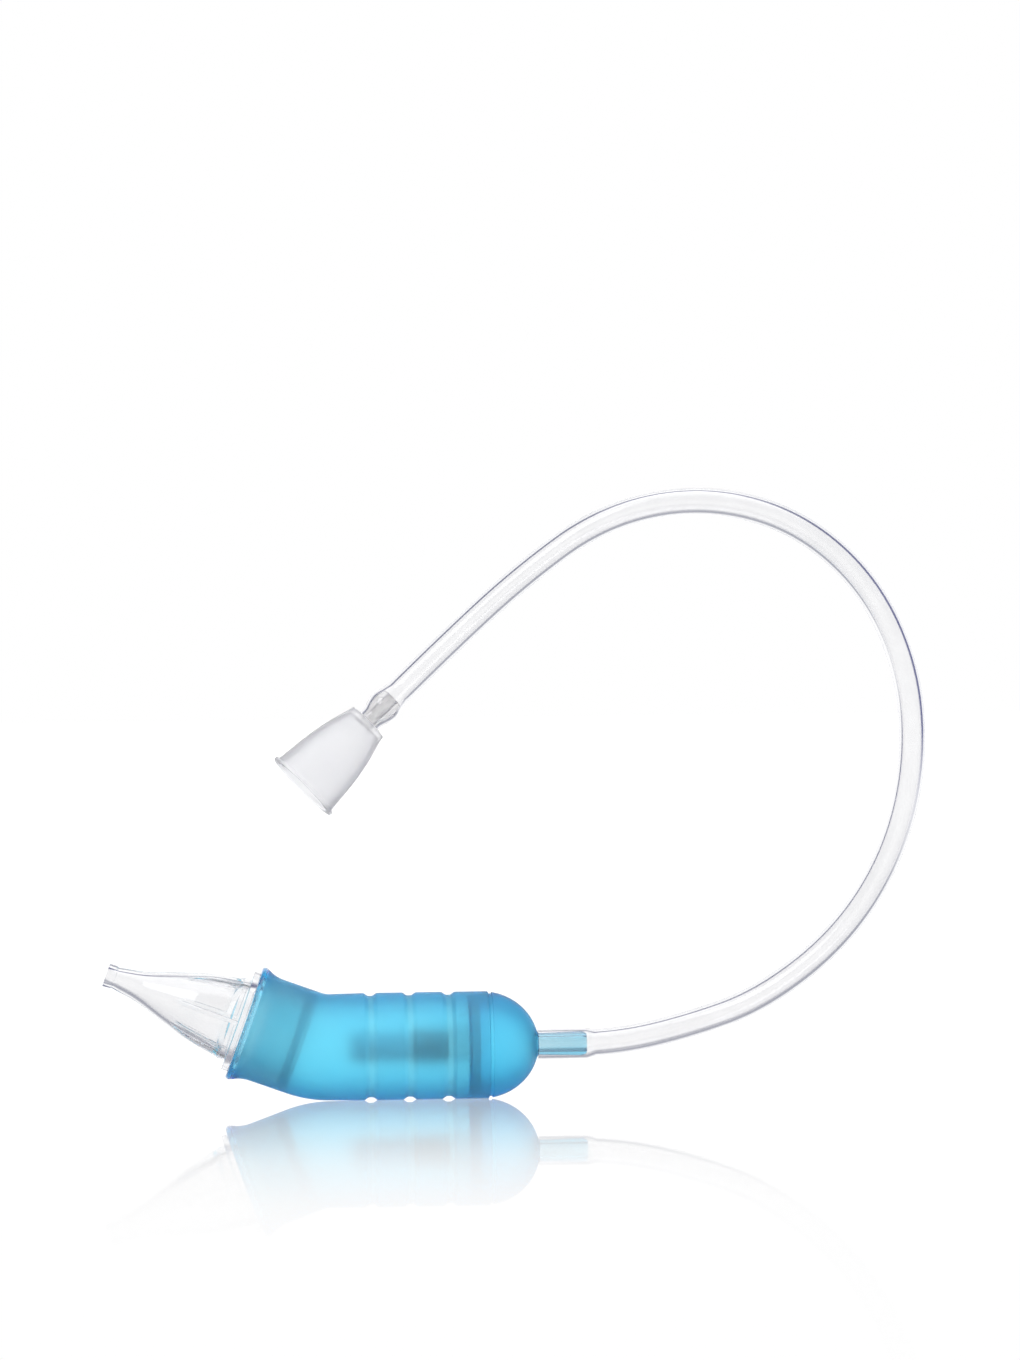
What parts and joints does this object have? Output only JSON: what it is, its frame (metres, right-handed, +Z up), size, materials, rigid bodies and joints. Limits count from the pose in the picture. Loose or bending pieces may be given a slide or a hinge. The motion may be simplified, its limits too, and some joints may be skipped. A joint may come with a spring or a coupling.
{
  "type": "nasal aspirator",
  "caption": "Mouth-suction nasal aspirator: clear finned nozzle, bent blue grip with a domed rear cap, absorbent filter, and a clear hose looping to a cup-shaped mouthpiece.",
  "frame": {"origin": "on the supporting surface, under the middle of the handpiece", "axes": "+X along the grip from the nozzle to the hose spigot, +Z up, the mouthpiece above the grip"},
  "size_m": [0.2151, 0.0319, 0.1592],
  "materials": {
    "frosted_blue": "frosted translucent polypropylene",
    "clear_rigid": "clear polished rigid plastic",
    "soft_seal": "soft translucent silicone",
    "absorbent_felt": "matt absorbent fibre",
    "clear_hose": "clear flexible PVC",
    "milky_plastic": "milky translucent polypropylene"
  },
  "bodies": {
    "grip": {"body_shell": "frosted_blue"},
    "nozzle_unit": {"nozzle": "clear_rigid", "nozzle_seal": "soft_seal"},
    "cap_unit": {"rear_cap": "frosted_blue", "cap_seal": "soft_seal", "filter_holder": "clear_rigid"},
    "filter_unit": {"filter": "absorbent_felt"},
    "hose_unit": {"hose": "clear_hose"},
    "mouth_unit": {"mouthpiece": "milky_plastic"}
  },
  "joints": [
    {"name": "nozzle_pull", "type": "slide", "parent": "grip", "child": "nozzle_unit", "axis": [-0.9397, 0, 0.342], "range_m": [0, 0.03]},
    {"name": "cap_pull", "type": "slide", "parent": "grip", "child": "cap_unit", "axis": [1, 0, 0], "range_m": [0, 0.045]},
    {"name": "filter_pull", "type": "slide", "parent": "cap_unit", "child": "filter_unit", "axis": [-1, 0, 0], "range_m": [0, 0.008]},
    {"name": "hose_pull", "type": "slide", "parent": "cap_unit", "child": "hose_unit", "axis": [1, 0, 0], "range_m": [0, 0.016]},
    {"name": "mouthpiece_turn", "type": "hinge", "parent": "hose_unit", "child": "mouth_unit", "pos_m": [0.0069, -0.0001, 0.0989], "axis": [-0.7169, -0.1, -0.6899], "continuous": true}
  ]
}
